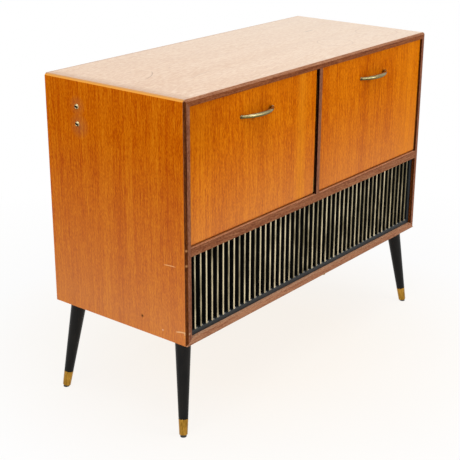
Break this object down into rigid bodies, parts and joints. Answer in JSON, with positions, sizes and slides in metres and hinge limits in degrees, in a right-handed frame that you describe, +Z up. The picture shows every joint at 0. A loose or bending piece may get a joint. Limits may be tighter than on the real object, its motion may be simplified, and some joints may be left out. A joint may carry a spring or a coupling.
{
  "type": "radiogram",
  "caption": "Teak radiogram on four splayed tapered legs: two drop-down doors with bow handles over a full-width slatted grille; record deck and radio inside.",
  "frame": {"origin": "on the floor, under the middle of the whole outline, handles included", "axes": "+Z up, front with the doors faces -Y, +X to the right of someone facing the front"},
  "size_m": [1.01, 0.44, 0.797],
  "materials": {
    "teak_veneer": "satin oiled veneer",
    "teak_door": "satin oiled veneer",
    "dark_lipping": "satin solid wood",
    "plain_wood": "sawn",
    "hardboard": "matte hardboard",
    "brass": "aged",
    "steel": "zinc plated",
    "black_lacquer": "satin black lacquer",
    "rubber": "matte",
    "black_paint": "satin black",
    "gold_strip": "champagne anodised",
    "speaker_paper": "matte pulp",
    "magnet_steel": "plated",
    "deck_paint": "cream enamel",
    "platter_alloy": "turned",
    "arm_plastic": "cream moulded",
    "dark_plastic": "moulded",
    "cream_plastic": "cream moulded",
    "key_plastic": "ivory moulded",
    "glass": "clear",
    "scale_print": "printed black",
    "pointer_red": "red enamel",
    "chassis_steel": "plated"
  },
  "bodies": {
    "cabinet": {"top_board": "teak_veneer", "bottom_board": "teak_veneer", "left_side_board": "teak_veneer", "right_side_board": "teak_veneer", "shelf_board": "teak_veneer", "partition": "teak_veneer", "back_board": "hardboard", "front_lipping": "dark_lipping", "case_screws": "brass", "case_hardware": "brass", "leg_blocks": "plain_wood", "leg_bolts": "steel", "front_left_leg": "black_lacquer", "front_right_leg": "black_lacquer", "back_left_leg": "black_lacquer", "back_right_leg": "black_lacquer", "ferrules": "brass", "glides": "rubber", "grille_frame": "black_paint", "grille_slats": "black_paint", "slat_strips": "gold_strip", "speaker_baffle": "black_lacquer", "speaker_frames": "magnet_steel", "speaker_cones": "speaker_paper", "lead_grommet": "rubber", "deck_plinth": "teak_veneer", "deck_plate": "deck_paint", "deck_motor": "steel", "arm_stand": "dark_plastic", "radio_panel": "cream_plastic", "dial_glass": "glass", "dial_scale": "scale_print", "radio_chassis": "chassis_steel", "valves": "glass"},
    "left_door": {"left_door": "teak_door", "left_handle": "brass", "left_door_fittings": "brass"},
    "left_stay_rod": {"left_stay_rod": "brass"},
    "left_stay_eye": {"left_stay_eye": "brass"},
    "right_door": {"right_door": "teak_door", "right_handle": "brass", "right_door_fittings": "brass"},
    "right_stay_rod": {"right_stay_rod": "brass"},
    "right_stay_eye": {"right_stay_eye": "brass"},
    "platter": {"platter": "platter_alloy", "platter_mat": "rubber"},
    "idler_wheel": {"idler_wheel": "rubber"},
    "motor_pulley": {"motor_pulley": "brass"},
    "arm_gimbal": {"arm_gimbal": "steel"},
    "tonearm": {"tonearm": "arm_plastic"},
    "speed_knob": {"speed_knob": "cream_plastic"},
    "volume_knob": {"volume_knob": "key_plastic"},
    "tone_knob": {"tone_knob": "key_plastic"},
    "tuning_knob": {"tuning_knob": "key_plastic"},
    "dial_pointer": {"dial_pointer": "pointer_red"},
    "key_1": {"key_1": "key_plastic"},
    "key_2": {"key_2": "key_plastic"},
    "key_3": {"key_3": "key_plastic"},
    "key_4": {"key_4": "key_plastic"},
    "key_5": {"key_5": "key_plastic"}
  },
  "joints": [
    {"name": "left_door_drop", "type": "hinge", "parent": "cabinet", "child": "left_door", "pos_m": [-0.24725, -0.189, 0.4735], "axis": [1, 0, 0], "range_deg": [0, 90]},
    {"name": "left_rod_pivot", "type": "hinge", "parent": "left_door", "child": "left_stay_rod", "pos_m": [-0.472, -0.168, 0.62202], "axis": [1, 0, 0], "range_deg": [-46, 1]},
    {"name": "left_eye_swivel", "type": "hinge", "parent": "cabinet", "child": "left_stay_eye", "pos_m": [-0.472, -0.13028, 0.61153], "axis": [1, 0, 0], "range_deg": [-1, 46]},
    {"name": "right_door_drop", "type": "hinge", "parent": "cabinet", "child": "right_door", "pos_m": [0.245, -0.189, 0.4735], "axis": [1, 0, 0], "range_deg": [0, 90]},
    {"name": "right_rod_pivot", "type": "hinge", "parent": "right_door", "child": "right_stay_rod", "pos_m": [0.472, -0.168, 0.62202], "axis": [1, 0, 0], "range_deg": [-46, 1]},
    {"name": "right_eye_swivel", "type": "hinge", "parent": "cabinet", "child": "right_stay_eye", "pos_m": [0.472, -0.13028, 0.61153], "axis": [1, 0, 0], "range_deg": [-1, 46]},
    {"name": "platter_spin", "type": "hinge", "parent": "cabinet", "child": "platter", "pos_m": [-0.29, -0.01, 0.5235], "axis": [0, 0, -1], "continuous": true},
    {"name": "idler_spin", "type": "hinge", "parent": "cabinet", "child": "idler_wheel", "pos_m": [-0.34385, 0.08327, 0.53675], "axis": [0, 0, -1], "continuous": true},
    {"name": "pulley_spin", "type": "hinge", "parent": "cabinet", "child": "motor_pulley", "pos_m": [-0.3244, 0.09959, 0.5235], "axis": [0, 0, -1], "continuous": true},
    {"name": "arm_swing", "type": "hinge", "parent": "cabinet", "child": "arm_gimbal", "pos_m": [-0.097, 0.07, 0.5515], "axis": [0, 0, -1], "range_deg": [0, 50]},
    {"name": "arm_lift", "type": "hinge", "parent": "arm_gimbal", "child": "tonearm", "pos_m": [-0.097, 0.07, 0.5695], "axis": [-1, 0, 0], "range_deg": [0, 12]},
    {"name": "speed_turn", "type": "hinge", "parent": "cabinet", "child": "speed_knob", "pos_m": [-0.055, -0.125, 0.5235], "axis": [0, 0, -1], "range_deg": [-45, 90]},
    {"name": "volume_turn", "type": "hinge", "parent": "cabinet", "child": "volume_knob", "pos_m": [0.069, -0.14, 0.532], "axis": [0, 1, 0], "range_deg": [0, 280]},
    {"name": "tone_turn", "type": "hinge", "parent": "cabinet", "child": "tone_knob", "pos_m": [0.233, -0.14, 0.532], "axis": [0, 1, 0], "range_deg": [-140, 140]},
    {"name": "tuning_turn", "type": "hinge", "parent": "cabinet", "child": "tuning_knob", "pos_m": [0.397, -0.14, 0.532], "axis": [0, 1, 0], "range_deg": [-720, 720]},
    {"name": "pointer_slide", "type": "slide", "parent": "cabinet", "child": "dial_pointer", "axis": [1, 0, 0], "range_m": [-0.18, 0.18]},
    {"name": "key_1_press", "type": "slide", "parent": "cabinet", "child": "key_1", "axis": [0, 1, 0], "range_m": [0, 0.006], "stiffness_N_per_m": 400, "springref_m": -0.002},
    {"name": "key_2_press", "type": "slide", "parent": "cabinet", "child": "key_2", "axis": [0, 1, 0], "range_m": [0, 0.006], "stiffness_N_per_m": 400, "springref_m": -0.002},
    {"name": "key_3_press", "type": "slide", "parent": "cabinet", "child": "key_3", "axis": [0, 1, 0], "range_m": [0, 0.006], "stiffness_N_per_m": 400, "springref_m": -0.002},
    {"name": "key_4_press", "type": "slide", "parent": "cabinet", "child": "key_4", "axis": [0, 1, 0], "range_m": [0, 0.006], "stiffness_N_per_m": 400, "springref_m": -0.002},
    {"name": "key_5_press", "type": "slide", "parent": "cabinet", "child": "key_5", "axis": [0, 1, 0], "range_m": [0, 0.006], "stiffness_N_per_m": 400, "springref_m": -0.002}
  ],
  "couplings": [
    {"joint": "left_rod_pivot", "follows": "left_door_drop", "ratio": -0.5},
    {"joint": "left_eye_swivel", "follows": "left_door_drop", "ratio": 0.5},
    {"joint": "right_rod_pivot", "follows": "right_door_drop", "ratio": -0.5},
    {"joint": "right_eye_swivel", "follows": "right_door_drop", "ratio": 0.5},
    {"joint": "idler_spin", "follows": "platter_spin", "ratio": 5.9091},
    {"joint": "pulley_spin", "follows": "platter_spin", "ratio": -42.004},
    {"joint": "pointer_slide", "follows": "tuning_turn", "m_per_rad": 0.014323}
  ]
}
